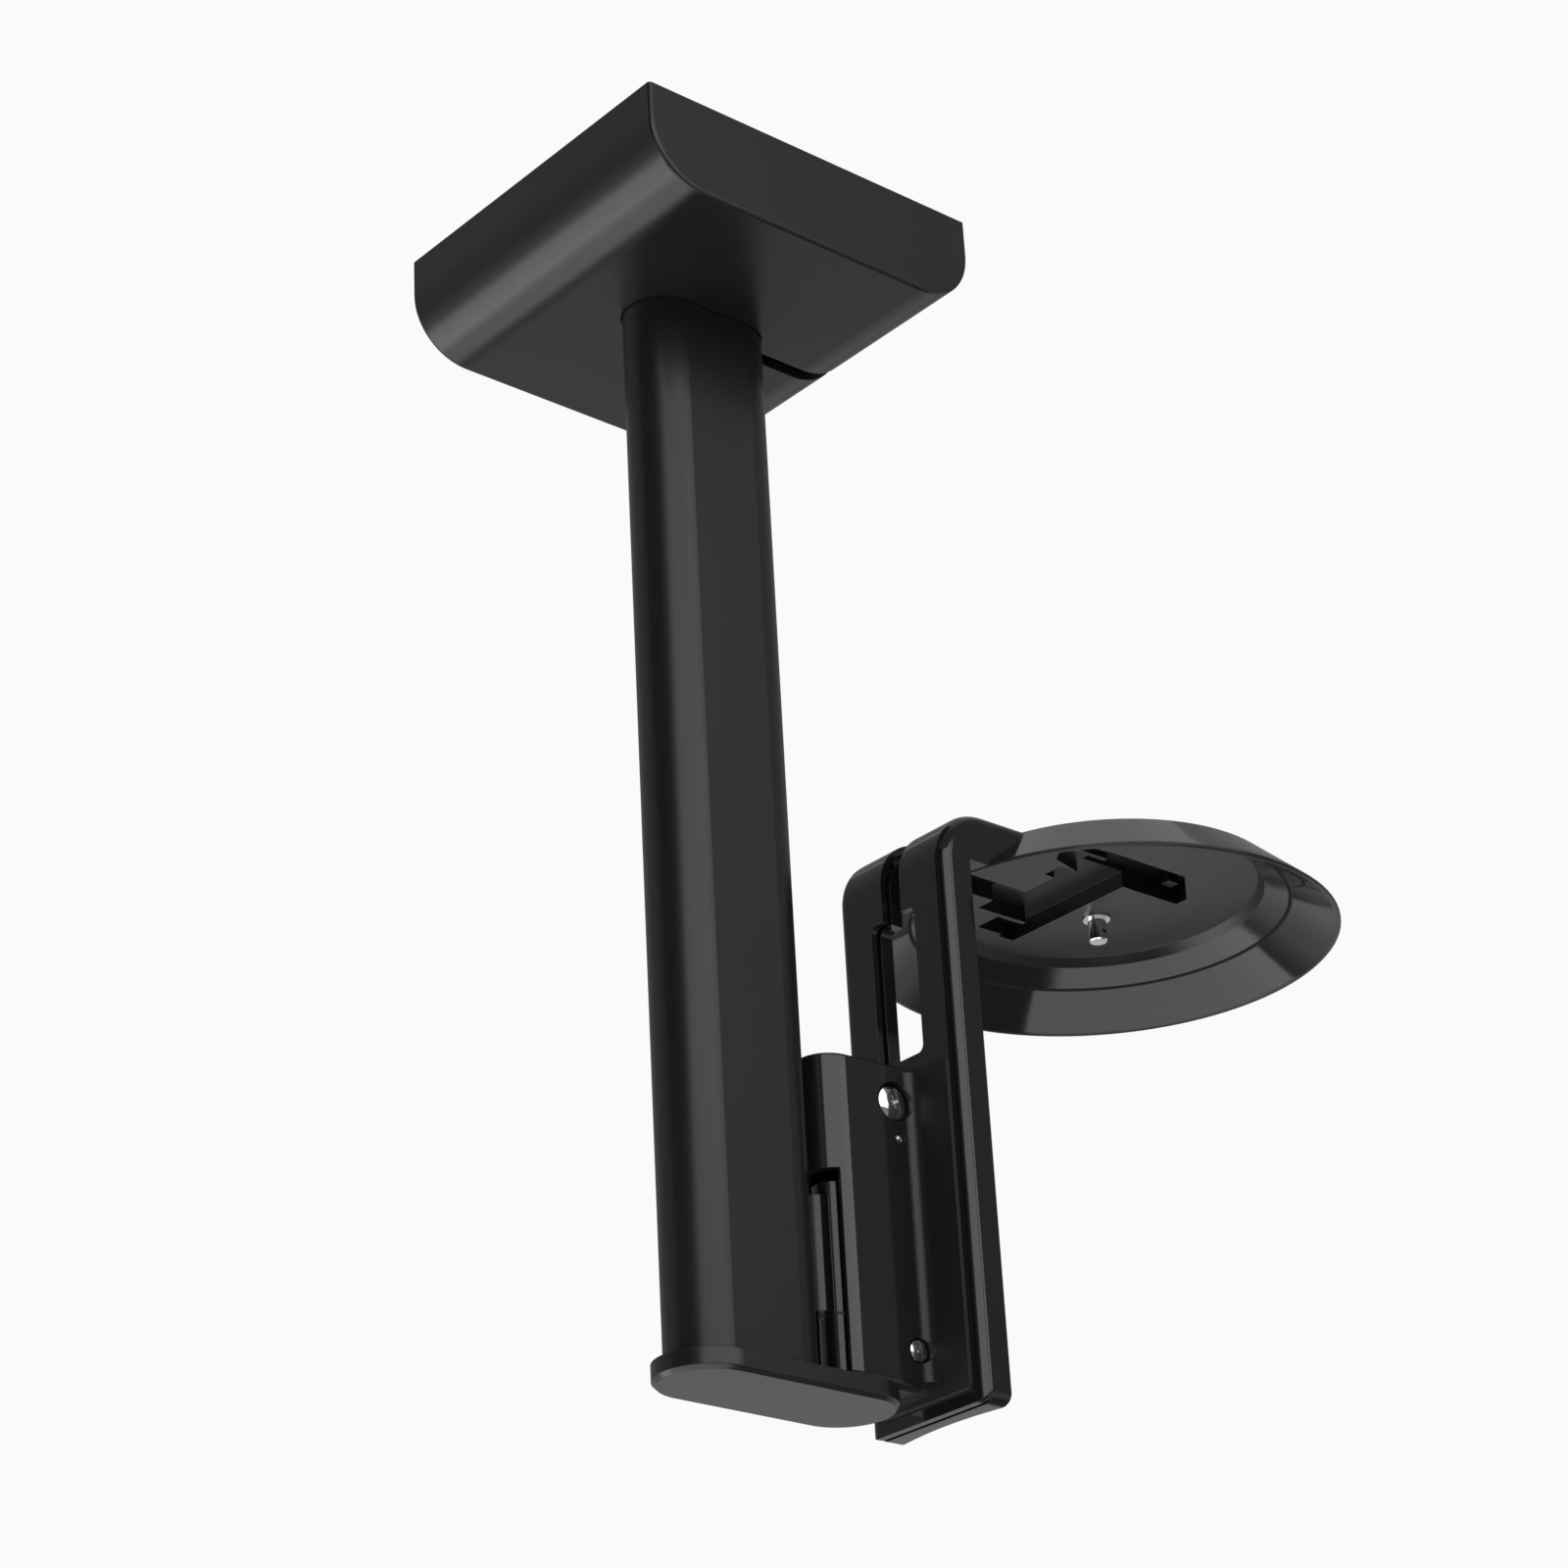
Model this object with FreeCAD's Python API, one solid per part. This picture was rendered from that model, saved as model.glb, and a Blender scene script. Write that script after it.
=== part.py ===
import FreeCAD
import Part
import math
import os

V = FreeCAD.Vector

# Speaker ceiling mount, in millimetres. +Z is up and the origin lies on the ceiling face,
# on the column's middle line. +X runs from the column through the hinge to the dish.

# Ceiling cover and the plate inside it
cover_length = 104.0
cover_width = 98.4
cover_height = 26.5
cover_edge_radius = 16.5
cover_wall = 2.6
cover_edge_fillet = 1.0
cable_slot_width = 4.0
cable_slot_rise = 17.5
plate_thickness = 3.0
plate_gap = 0.6
plate_corner = 6.0
slot_x = 34.0
slot_y = 30.0
slot_radius = 2.6
slot_travel = 8.0
tab_width = 20.0
tab_thickness = 2.0
tab_drop = 11.0
snap_width = 12.0
snap_height = 2.4
snap_depth = 1.7
snap_drop = 9.4
snap_gap = 0.3

# Column and end cap
column_length = 40.0
column_width = 20.0
column_wall = 2.5
column_drop = 302.6
column_hole_gap = 0.3
port_end = 1.0
port_side = 1.9
port_radius = 2.6
cable_hole_length = 14.0
cable_hole_radius = 4.4
cap_thickness = 4.9
cap_overhang = 2.8
cap_chamfer = 1.0
spigot_height = 6.0
spigot_wall = 2.3
slip_gap = 0.15

# Fasteners: shank and head radii, lengths
small_shank = 1.25
small_head = 2.35
small_length = 13.5
screw_shank = 1.5
screw_head = 2.75
column_screw_length = 16.0
bolt_shank = 2.0
bolt_head = 3.65
bolt_head_height = 2.3
pivot_head = 2.6
pivot_head_height = 1.6
grub_radius = 1.3
thread_gap = 0.05
nut_flats = 7.0
nut_height = 2.2
nut_pocket = 1.3

# Swivel hinge, heights above the column's lower end
swivel_reach = 10.6
eye_radius = 4.9
eye_foot = 17.6
eye_height = 32.0
web_rise = 46.0
web_neck = 2.3
web_root = 5.8
web_flare_start = 2.25
saddle_thickness = 4.4
saddle_foot = 6.6
saddle_height = 49.5
saddle_screw_inset = 4.5
pin_radius = 2.0
pin_press_gap = 0.02
pin_running_gap = 0.05
pin_head_radius = 3.9
pin_head_height = 1.1
pin_seat_depth = 2.5
washer_thickness = 0.5
running_gap = 0.4
knuckle_step = 0.5

# Tilt housing and the swivel block in it
eye_room = 0.5
housing_wall = 2.5
housing_flare = 3.3
housing_top = 81.1
housing_roof = 2.0
housing_floor = 2.0
housing_floor_reach = 7.6
housing_edge = 0.8
housing_foot_edge = 2.4
housing_fillet = 3.0
notch_rise = 52.0
notch_reach = 3.4
notch_bevel = (1.3, 0.9)
flange_reach = 19.7
flange_thickness = 1.2
flange_near_margin = 3.2
flange_far_margin = 5.1
flange_top = 80.6
flange_foot = -1.4
flange_corner = 1.0
pivot_reach = 16.5
pivot_rise = 10.2
pivot_counterbore = 3.1
pivot_counterbore_depth = 1.6
lock_reach = 14.0
lock_rise = 71.6
lock_counterbore = 4.95
lock_counterbore_depth = 2.0
grub_reach = 14.8
grub_rise = 62.4
tilt_range = 5.0
block_gap = 0.5
block_room = 0.5
block_foot = 4.1
tongue_half = 4.2
tongue_wall = 1.4
tongue_room = 1.0
slide_gap = 0.2
pivot_washer = 0.4
pivot_washer_radius = 3.2
drain_hole = 2.0

# Cradle: back cover, frame and flared ring
cradle_offset = -4.7
cradle_width = 39.5
cradle_depth = 8.9
cradle_hollow = 2.2
cradle_edge = 3.2
arm_rise = 147.1
arm_thickness = 7.0
bend_radius = 15.0
foot_corner = 3.0
skin = 2.4
skin_end = 18.5
skin_gap = 0.05
groove_back = 1.8
groove_front = 3.2
groove_depth = 2.0
foot_groove_depth = 1.0
window_half = 7.9
window_narrow = 3.5
window_rise = 84.9
window_step = 123.0
window_corner = 2.0
window_arm = 16.5
cradle_screw_rise = (24.0, 52.0)
dish_reach = 73.8
rim_radius = 61.4
rim_rise = 133.2
rim_lip = 0.8
rim_round = 0.3
crown_radius = 47.0
crown_rise = 147.2
crown_slope = 0.45
throat_radius = 46.0
bore_radius = 49.2
bore_rise = 141.9
lip_thickness = 1.3

# Seat tray and locating stud
tray_gap = 0.12
tray_top_radius = 39.5
seat_rise = 148.0
seat_radius = 41.5
seat_draft = 1.5
seat_depth = 2.4
pocket_roof = 1.0
stud_x = 10.5
stud_y = 11.2
stud_radius = 2.5
stud_height = 7.0
stud_flange_radius = 3.6
stud_flange_height = 1.2
stud_flange_sink = 0.4
stud_shank_radius = 1.5
stud_shank_height = 2.2
stud_bore_radius = 0.6

# Pockets in the seat, measured from the dish's middle: corner points and depth
seat_pockets = [
    ([(-20.0, -6.9), (2.5, -6.9), (2.5, 24.0), (-20.0, 24.0)], 4.5),
    ([(-3.0, 24.0), (2.5, 24.0), (2.5, 34.6), (-3.0, 34.6)], 4.5),
    ([(-11.7, 25.4), (-3.0, 25.4), (-3.0, 33.2), (-11.7, 33.2)], 6.0),
    ([(-14.0, -20.4), (11.5, -20.4), (22.2, -10.6), (22.2, -6.9), (-14.0, -6.9)], 6.4),
    ([(-30.0, -18.8), (-14.0, -20.4), (-14.0, -6.9), (-24.0, -9.5)], 3.0),
    ([(-36.0, 9.8), (-20.0, 9.8), (-20.0, 18.4), (-36.0, 18.4)], 4.8),
]
seat_block = [(-26.0, -1.0), (-16.5, -1.0), (-16.5, 9.8), (-26.0, 9.8)]
seat_block_height = 5.0
hook_blocks = [
    ([(-22.0, -14.6), (-10.5, -14.6), (-10.5, -13.2), (-22.0, -13.2)], 1.6, 3.4),
    ([(14.0, -12.6), (17.6, -12.6), (17.6, -9.6), (14.0, -9.6)], 2.6, 7.2),
]

# Sizes worked out from the ones above
half_x = cover_length / 2
half_y = cover_width / 2
column_r = column_width / 2
column_c = column_length / 2 - column_r
bore_r = column_r - column_wall
port_x = column_c - port_end
port_y = bore_r - port_side
foot_z = -column_drop
cap_bottom = foot_z - cap_thickness
cap_r = column_r + cap_overhang
swivel_x = column_length / 2 + swivel_reach
eye_bottom = foot_z + eye_foot
eye_top = eye_bottom + eye_height
knuckle_top = eye_bottom - washer_thickness
knuckle_bottom = foot_z + running_gap
housing_inner = eye_radius + eye_room
housing_radius = housing_inner + housing_wall
block_half = housing_inner - block_gap
saddle_bottom = foot_z + saddle_foot
saddle_top = saddle_bottom + saddle_height
saddle_front = column_length / 2 - column_wall
flange_x = swivel_x + flange_reach
cradle_x = flange_x + flange_thickness
cradle_near = cradle_offset - cradle_width / 2
cradle_far = cradle_offset + cradle_width / 2
cradle_front = cradle_x + cradle_depth
arm_top = foot_z + arm_rise
dish_x = cradle_x + dish_reach
pivot_x = swivel_x + pivot_reach
pivot_z = foot_z + pivot_rise
lock_x = swivel_x + lock_reach
lock_z = foot_z + lock_rise
grub_x = swivel_x + grub_reach
grub_z = foot_z + grub_rise
rim_z = foot_z + rim_rise
crown_z = foot_z + crown_rise
bore_z = foot_z + bore_rise
seat_z = foot_z + seat_rise
flare = math.radians(housing_flare)
tilt = math.radians(tilt_range)
lock_end_x = pivot_x + (lock_x - pivot_x) * math.cos(tilt) + (lock_z - pivot_z) * math.sin(tilt)


def box(x0, x1, y0, y1, z0, z1):
    return Part.makeBox(x1 - x0, y1 - y0, z1 - z0, V(x0, y0, z0))


def rod_x(radius, y, z, x0, x1):
    return Part.makeCylinder(radius, x1 - x0, V(x0, y, z), V(1, 0, 0))


def rod_y(radius, x, z, y0, y1):
    return Part.makeCylinder(radius, y1 - y0, V(x, y0, z), V(0, 1, 0))


def rod_z(radius, x, y, z0, z1):
    return Part.makeCylinder(radius, z1 - z0, V(x, y, z0), V(0, 0, 1))


def line(a, b):
    return Part.LineSegment(a, b).toShape()


def arc(a, b, c):
    return Part.Arc(a, b, c).toShape()


def extruded(edges, direction):
    return Part.Face(Part.Wire(edges)).extrude(direction)


def prism(points, z0, z1):
    corners = [V(x, y, z0) for x, y in points]
    return Part.Face(Part.makePolygon(corners + corners[:1])).extrude(V(0, 0, z1 - z0))


def oval(x0, x1, radius, z0, z1, y=0.0):
    """Upright prism whose outline is two half circles, about x0 and about x1."""
    edges = [
        line(V(x0, y - radius, z0), V(x1, y - radius, z0)),
        arc(V(x1, y - radius, z0), V(x1 + radius, y, z0), V(x1, y + radius, z0)),
        line(V(x1, y + radius, z0), V(x0, y + radius, z0)),
        arc(V(x0, y + radius, z0), V(x0 - radius, y, z0), V(x0, y - radius, z0)),
    ]
    return extruded(edges, V(0, 0, z1 - z0))


def turned(profile):
    """Solid of revolution about the dish's axis, from pairs of radius and height."""
    corners = [V(dish_x + r, cradle_offset, z) for r, z in profile]
    face = Part.Face(Part.makePolygon(corners + corners[:1]))
    return face.revolve(V(dish_x, cradle_offset, 0), V(0, 0, 1), 360)


def hexagon(flats, x, z, y0, y1):
    r = flats / math.sqrt(3)
    turns = [math.radians(60 * i) for i in range(6)]
    corners = [V(x + r * math.cos(a), y0, z + r * math.sin(a)) for a in turns]
    return Part.Face(Part.makePolygon(corners + corners[:1])).extrude(V(0, y1 - y0, 0))


def flat_head(tip, direction, shank, head, length):
    """Screw with a sunk head whose face lies at tip, pointing along direction."""
    sink = head - shank
    cone = Part.makeCone(head, shank, sink, tip, direction)
    shaft = Part.makeCylinder(shank, length - sink, tip + direction * sink, direction)
    return cone.fuse(shaft).removeSplitter()


def flat_head_hole(tip, direction, shank, head, length):
    hole = flat_head(tip, direction, shank + thread_gap, head + thread_gap, length)
    return hole.fuse(Part.makeCylinder(head + thread_gap, 2.0, tip - direction * 2.0, direction))


def upright_edges(shape, test):
    found = []
    for edge in shape.Edges:
        a = edge.Vertexes[0].Point
        b = edge.Vertexes[-1].Point
        if abs(a.z - b.z) > 1e-6 and abs(a.x - b.x) + abs(a.y - b.y) < 1e-6 and test(a.x, a.y):
            found.append(edge)
    return found


def level_edges(shape, z):
    return [e for e in shape.Edges if e.BoundBox.ZMin > z - 1e-4 and e.BoundBox.ZMax < z + 1e-4]


def port_places():
    return [(sx * port_x, sy * port_y) for sx in (-1, 1) for sy in (-1, 1)]


def saddle_screw_heights():
    return [saddle_top - saddle_screw_inset, saddle_bottom + saddle_screw_inset]


def side_y(x):
    """Half width of the housing's outside at x."""
    nose = swivel_x - housing_radius * math.sin(flare)
    return housing_radius * math.cos(flare) + (x - nose) * math.tan(flare)


def front_x(y):
    """X of the cradle's hollow front face at y."""
    half = cradle_width / 2
    radius = (half ** 2 + cradle_hollow ** 2) / (2 * cradle_hollow)
    centre = cradle_front - cradle_hollow + radius
    return centre - math.sqrt(radius ** 2 - (y - cradle_offset) ** 2)


def cradle_screw_places():
    middle = (housing_inner + side_y(flange_x)) / 2
    return [(y, foot_z + rise) for y in (-middle, middle) for rise in cradle_screw_rise]


def cover_form(inset):
    """The cover's outside form, smaller by inset on every side but the top."""
    hx = half_x - inset
    low = inset - cover_height
    r = cover_edge_radius - inset
    k = r * (1 - math.sqrt(0.5))
    y = inset - half_y
    edges = [
        line(V(-hx, y, 0), V(-hx, y, low + r)),
        arc(V(-hx, y, low + r), V(k - hx, y, low + k), V(r - hx, y, low)),
        line(V(r - hx, y, low), V(hx - r, y, low)),
        arc(V(hx - r, y, low), V(hx - k, y, low + k), V(hx, y, low + r)),
        line(V(hx, y, low + r), V(hx, y, 0)),
        line(V(hx, y, 0), V(-hx, y, 0)),
    ]
    return extruded(edges, V(0, -2 * y, 0))


def ceiling_cover():
    form = cover_form(0)
    ends = [e for e in form.Edges if e.BoundBox.YMax - e.BoundBox.YMin < 1e-4 and e.BoundBox.ZMin < -1e-4]
    shell = form.makeFillet(cover_edge_fillet, ends).cut(cover_form(cover_wall))
    shell = shell.cut(oval(-column_c, column_c, column_r + column_hole_gap, -cover_height - 1, 0))
    half = cable_slot_width / 2
    shell = shell.cut(box(column_c, half_x + 1, -half, half, -cover_height - 1, cable_slot_rise - cover_height))
    wide = snap_width / 2
    wall = half_y - cover_wall
    for y0, y1 in ((-wall, snap_depth - wall), (wall - snap_depth, wall)):
        shell = shell.fuse(box(-wide, wide, y0, y1, -snap_drop - snap_height, -snap_drop))
    return shell.removeSplitter()


def ceiling_plate():
    px = half_x - cover_wall - plate_gap
    py = half_y - cover_wall - plate_gap
    plate = box(-px, px, -py, py, -plate_thickness, 0)
    plate = plate.makeFillet(plate_corner, upright_edges(plate, lambda x, y: True))
    wide = snap_width / 2 + snap_gap
    for y0, y1 in ((-py, tab_thickness - py), (py - tab_thickness, py)):
        tab = box(-tab_width / 2, tab_width / 2, y0, y1, -plate_thickness - tab_drop, 0)
        window = box(-wide, wide, y0, y1, -snap_drop - snap_height - snap_gap, snap_gap - snap_drop)
        plate = plate.fuse(tab.cut(window))
    low = -plate_thickness
    for sx in (-slot_x, slot_x):
        for sy in (-slot_y, slot_y):
            reach = slot_travel / 2
            plate = plate.cut(oval(sx - reach, sx + reach, slot_radius, low, 0, sy))
    reach = cable_hole_length / 2 - cable_hole_radius
    plate = plate.cut(oval(-reach, reach, cable_hole_radius, low, 0))
    for x, y in port_places():
        plate = plate.cut(flat_head_hole(V(x, y, 0), V(0, 0, -1), screw_shank, screw_head, column_screw_length))
    return plate.removeSplitter()


def column_screws():
    down = V(0, 0, -1)
    return [flat_head(V(x, y, 0), down, screw_shank, screw_head, column_screw_length) for x, y in port_places()]


def column():
    low = foot_z
    high = -plate_thickness
    skin_form = oval(-column_c, column_c, column_r, low, high)
    tube = skin_form.cut(oval(-column_c, column_c, bore_r, low, high))
    for x, y in port_places():
        tube = tube.fuse(rod_z(port_radius, x, y, low, high).common(skin_form))
    for x, y in port_places():
        tube = tube.cut(rod_z(screw_shank + thread_gap, x, y, low, high))
    half = web_neck / 2 + slip_gap
    tube = tube.cut(box(column_c, column_length, -half, half, eye_bottom - slip_gap, foot_z + web_rise + slip_gap))
    for z in saddle_screw_heights():
        tip = V(column_length / 2 - 0.2, 0, z)
        tube = tube.cut(flat_head_hole(tip, V(-1, 0, 0), screw_shank, screw_head, column_wall + 3))
    return tube.removeSplitter()


def end_cap():
    cap = oval(-column_c, swivel_x, cap_r, cap_bottom, foot_z)
    cap = cap.makeChamfer(cap_chamfer, level_edges(cap, cap_bottom))
    top = foot_z + spigot_height
    spigot = oval(-column_c, column_c, bore_r - slip_gap, foot_z, top)
    spigot = spigot.cut(oval(-column_c, column_c, bore_r - slip_gap - spigot_wall, foot_z, top))
    for x, y in port_places():
        spigot = spigot.cut(rod_z(port_radius + slip_gap, x, y, foot_z, top))
    cap = cap.fuse(spigot)
    return cap.cut(rod_z(pin_radius + pin_press_gap, swivel_x, 0, foot_z - pin_seat_depth, foot_z)).removeSplitter()


def hinge_bracket():
    """Saddle inside the column, web through its wall, and the eye of the hinge."""
    saddle = oval(-column_c, column_c, bore_r - slip_gap, saddle_bottom, saddle_top)
    back = saddle_front - saddle_thickness
    saddle = saddle.common(box(back, saddle_front, -column_r, column_r, saddle_bottom, saddle_top))
    neck = web_neck / 2
    root = web_root / 2
    bend = column_length / 2 + web_flare_start
    near = [(back + 1, -neck), (bend, -neck), (bend + root - neck, -root), (swivel_x, -root)]
    web = prism(near + [(x, -y) for x, y in reversed(near)], eye_bottom, foot_z + web_rise)
    part = saddle.fuse(web).fuse(rod_z(eye_radius, swivel_x, 0, eye_bottom, eye_top))
    part = part.cut(rod_z(pin_radius + pin_press_gap, swivel_x, 0, eye_bottom, eye_top))
    for z in saddle_screw_heights():
        part = part.cut(rod_x(screw_shank + thread_gap, 0, z, 0, column_length))
    return part.removeSplitter()


def hinge_bracket_screws():
    tip_x = column_length / 2 - 0.2
    length = column_wall + saddle_thickness - 0.4
    return [flat_head(V(tip_x, 0, z), V(-1, 0, 0), screw_shank, screw_head, length) for z in saddle_screw_heights()]


def hinge_pin():
    head = rod_z(pin_head_radius, swivel_x, 0, eye_top, eye_top + pin_head_height)
    head = head.makeChamfer(pin_head_height * 0.6, level_edges(head, eye_top + pin_head_height))
    return head.fuse(rod_z(pin_radius, swivel_x, 0, foot_z - pin_seat_depth, eye_top)).removeSplitter()


def hinge_washer():
    ring = rod_z(eye_radius, swivel_x, 0, knuckle_top, eye_bottom)
    return ring.cut(rod_z(pin_radius + pin_running_gap, swivel_x, 0, knuckle_top, eye_bottom))


def swivel_block():
    """Knuckle at the foot, body inside the housing, and a tongue with the slot for the lock bolt."""
    h = block_half
    back = swivel_x + eye_radius + block_room
    low = foot_z + block_foot
    high = lock_z + tongue_half
    block = box(back, cradle_x - running_gap, -h, h, pivot_z, high)
    drop = (pivot_z - low) * math.tan(tilt)
    block = block.fuse(box(back, cradle_x - running_gap - drop, -h, h, low, pivot_z))
    front = lock_end_x + bolt_shank + tongue_wall
    block = block.fuse(box(back, front, -h, h, lock_z - tongue_half, high))
    block = block.fuse(rod_z(eye_radius, swivel_x, 0, knuckle_bottom, knuckle_top))
    side = eye_radius - knuckle_step
    web = box(swivel_x, back + 1, -side, side, knuckle_bottom, knuckle_top)
    block = block.fuse(web).removeSplitter()
    block = block.cut(rod_z(pin_radius + pin_running_gap, swivel_x, 0, knuckle_bottom, knuckle_top))
    block = block.cut(rod_y(screw_shank + thread_gap, pivot_x, pivot_z, -h, h))
    r = bolt_shank + slide_gap
    slot = box(lock_x, lock_end_x, -h, h, lock_z - r, lock_z + r)
    slot = slot.fuse(rod_y(r, lock_x, lock_z, -h, h)).fuse(rod_y(r, lock_end_x, lock_z, -h, h))
    return block.cut(slot).removeSplitter()


def housing_form(z0, z1):
    """Round-nosed form whose straight sides open by the flare angle towards the flange."""
    r = housing_radius
    nose_x = swivel_x - r * math.sin(flare)
    nose_y = r * math.cos(flare)
    h = side_y(flange_x)
    edges = [
        line(V(flange_x, h, z0), V(nose_x, nose_y, z0)),
        arc(V(nose_x, nose_y, z0), V(swivel_x - r, 0, z0), V(nose_x, -nose_y, z0)),
        line(V(nose_x, -nose_y, z0), V(flange_x, -h, z0)),
        line(V(flange_x, -h, z0), V(flange_x, h, z0)),
    ]
    form = extruded(edges, V(0, 0, z1 - z0))
    outside = [e for e in level_edges(form, z0) if e.BoundBox.XMin < flange_x - 1]
    form = form.makeFillet(housing_foot_edge, outside)
    outside = [e for e in level_edges(form, z1) if e.BoundBox.XMin < flange_x - 1]
    return form.makeFillet(housing_edge, outside)


def corner_filler(z0, z1):
    """Hollow rounding between the housing's near side and its flange."""
    r = housing_fillet
    h = side_y(flange_x)
    cx = flange_x - r
    cy = -h - r * (1 - math.sin(flare)) / math.cos(flare)
    side = V(cx + r * math.sin(flare), cy + r * math.cos(flare), z0)
    face = V(flange_x, cy, z0)
    middle = V(cx + r * math.sqrt(0.5), cy + r * math.sqrt(0.5), z0)
    inside = V(flange_x + flange_thickness / 2, -h + 1, z0)
    return extruded([arc(side, middle, face), line(face, inside), line(inside, side)], V(0, 0, z1 - z0))


def tilt_housing():
    low = knuckle_bottom
    high = foot_z + housing_top
    near = cradle_near + flange_near_margin
    far = cradle_far - flange_far_margin
    flange = box(flange_x, cradle_x, near, far, foot_z + flange_foot, foot_z + flange_top)
    corners = [e for e in flange.Edges if e.BoundBox.XMax - e.BoundBox.XMin > flange_thickness / 2
               and e.BoundBox.YMax - e.BoundBox.YMin < 1e-3 and e.BoundBox.ZMax - e.BoundBox.ZMin < 1e-3]
    flange = flange.makeFillet(flange_corner, corners)
    filler = corner_filler(low + housing_foot_edge, foot_z + flange_top - housing_edge)
    shell = housing_form(low, high).fuse(flange).fuse(filler)
    h = housing_inner
    notch = foot_z + notch_rise
    front = cradle_x
    shell = shell.cut(box(swivel_x + housing_floor_reach, front, -h, h, low + housing_floor, notch))
    shell = shell.cut(box(0, swivel_x + housing_floor_reach, -h, h, low, notch))
    upper = oval(swivel_x, front, h, notch, high - housing_roof)
    shell = shell.cut(upper.common(box(0, front, -h, h, notch, high)))
    edge = swivel_x - notch_reach
    shell = shell.cut(box(0, edge, -half_y, half_y, low, notch))
    bx, by = notch_bevel
    for side in (-1, 1):
        bevel = [(edge - bx, side * h), (edge + bx, side * h), (edge, side * (h + by))]
        shell = shell.cut(prism(bevel, low, notch))
    return drill_housing(shell).removeSplitter()


def drill_housing(shell):
    h = housing_inner
    out = 2 * side_y(flange_x)
    far = side_y(lock_x)
    shell = shell.cut(rod_y(bolt_shank + thread_gap, lock_x, lock_z, -out, out))
    shell = shell.cut(rod_y(lock_counterbore, lock_x, lock_z, -out, lock_counterbore_depth - far))
    shell = shell.cut(hexagon(nut_flats + 2 * slip_gap, lock_x, lock_z, far - nut_pocket, out))
    shell = shell.cut(rod_y(grub_radius + thread_gap, grub_x, grub_z, -out, -h))
    shell = shell.cut(rod_y(screw_shank + thread_gap, pivot_x, pivot_z, -out, out))
    near = pivot_counterbore_depth - side_y(pivot_x)
    shell = shell.cut(rod_y(pivot_counterbore, pivot_x, pivot_z, -out, near))
    for y, z in cradle_screw_places():
        shell = shell.cut(rod_x(small_shank + thread_gap, y, z, front_x(y) - small_length, cradle_x))
    half = drain_hole / 2
    middle = pivot_x
    return shell.cut(box(middle - half, middle + half, -half, half, foot_z, foot_z + housing_floor + 1))


def round_head(radius, height, x, z, seat, recess):
    """Bevelled head standing on the plane y = seat, with a hexagon recess."""
    head = rod_y(radius, x, z, seat - height, seat)
    rim = [e for e in head.Edges if e.BoundBox.YMax < seat - height + 1e-4]
    head = head.makeChamfer(height * 0.4, rim)
    return head.cut(hexagon(recess, x, z, seat - height, seat - height * 0.35))


def lock_bolt():
    seat = lock_counterbore_depth - side_y(lock_x)
    end = side_y(lock_x) - nut_pocket + nut_height
    head = round_head(bolt_head, bolt_head_height, lock_x, lock_z, seat, 2.5)
    return head.fuse(rod_y(bolt_shank, lock_x, lock_z, seat, end)).removeSplitter()


def lock_nut():
    seat = side_y(lock_x) - nut_pocket
    nut = hexagon(nut_flats, lock_x, lock_z, seat, seat + nut_height)
    return nut.cut(rod_y(bolt_shank + thread_gap, lock_x, lock_z, seat, seat + nut_height))


def pivot_screw():
    seat = pivot_counterbore_depth - side_y(pivot_x)
    head = round_head(pivot_head, pivot_head_height, pivot_x, pivot_z, seat, 2.0)
    return head.fuse(rod_y(screw_shank, pivot_x, pivot_z, seat, side_y(pivot_x) - 0.4)).removeSplitter()


def pivot_washers():
    gap = (housing_inner - block_half - pivot_washer) / 2
    rings = []
    for y in (-housing_inner + gap, block_half + gap):
        ring = rod_y(pivot_washer_radius, pivot_x, pivot_z, y, y + pivot_washer)
        rings.append(ring.cut(rod_y(screw_shank + thread_gap, pivot_x, pivot_z, y, y + pivot_washer)))
    return rings


def grub_screw():
    outer = 0.4 - side_y(grub_x)
    screw = rod_y(grub_radius, grub_x, grub_z, outer, -housing_inner)
    return screw.cut(hexagon(1.3, grub_x, grub_z, outer, outer + 1.2))


def cradle_form():
    """Back, bend and arm in one, before the back cover is parted from the frame."""
    x0 = cradle_x
    x1 = cradle_front
    z = cap_bottom
    edges = [
        line(V(x0, cradle_near, z), V(x1, cradle_near, z)),
        arc(V(x1, cradle_near, z), V(x1 - cradle_hollow, cradle_offset, z), V(x1, cradle_far, z)),
        line(V(x1, cradle_far, z), V(x0, cradle_far, z)),
        line(V(x0, cradle_far, z), V(x0, cradle_near, z)),
    ]
    form = extruded(edges, V(0, 0, arm_top - z))
    arm_end = dish_x - crown_radius + 12
    form = form.fuse(box(x0, arm_end, cradle_near, cradle_far, arm_top - arm_thickness, arm_top)).removeSplitter()
    bend = [e for e in level_edges(form, arm_top) if e.BoundBox.XMax < x0 + 1e-4]
    form = form.makeFillet(bend_radius, bend)
    form = form.makeFillet(cradle_edge, upright_edges(form, lambda x, y: abs(x - x0) < 1e-4))
    block = box(x0 - 1, arm_end + 1, cradle_near, cradle_far, z, arm_top + 1)
    lower = [e for e in level_edges(block, z) if e.BoundBox.YLength < 1e-4]
    return form.common(block.makeFillet(foot_corner, lower))


def core(depth):
    """Everything deeper than depth behind the outside of the back and the arm's top."""
    block = box(cradle_x + depth, dish_x, cradle_near - 1, cradle_far + 1, cap_bottom - 1, arm_top - depth)
    edge = [e for e in level_edges(block, arm_top - depth) if e.BoundBox.XMax < cradle_x + depth + 1e-4]
    return block.makeFillet(bend_radius - depth, edge)


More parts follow.
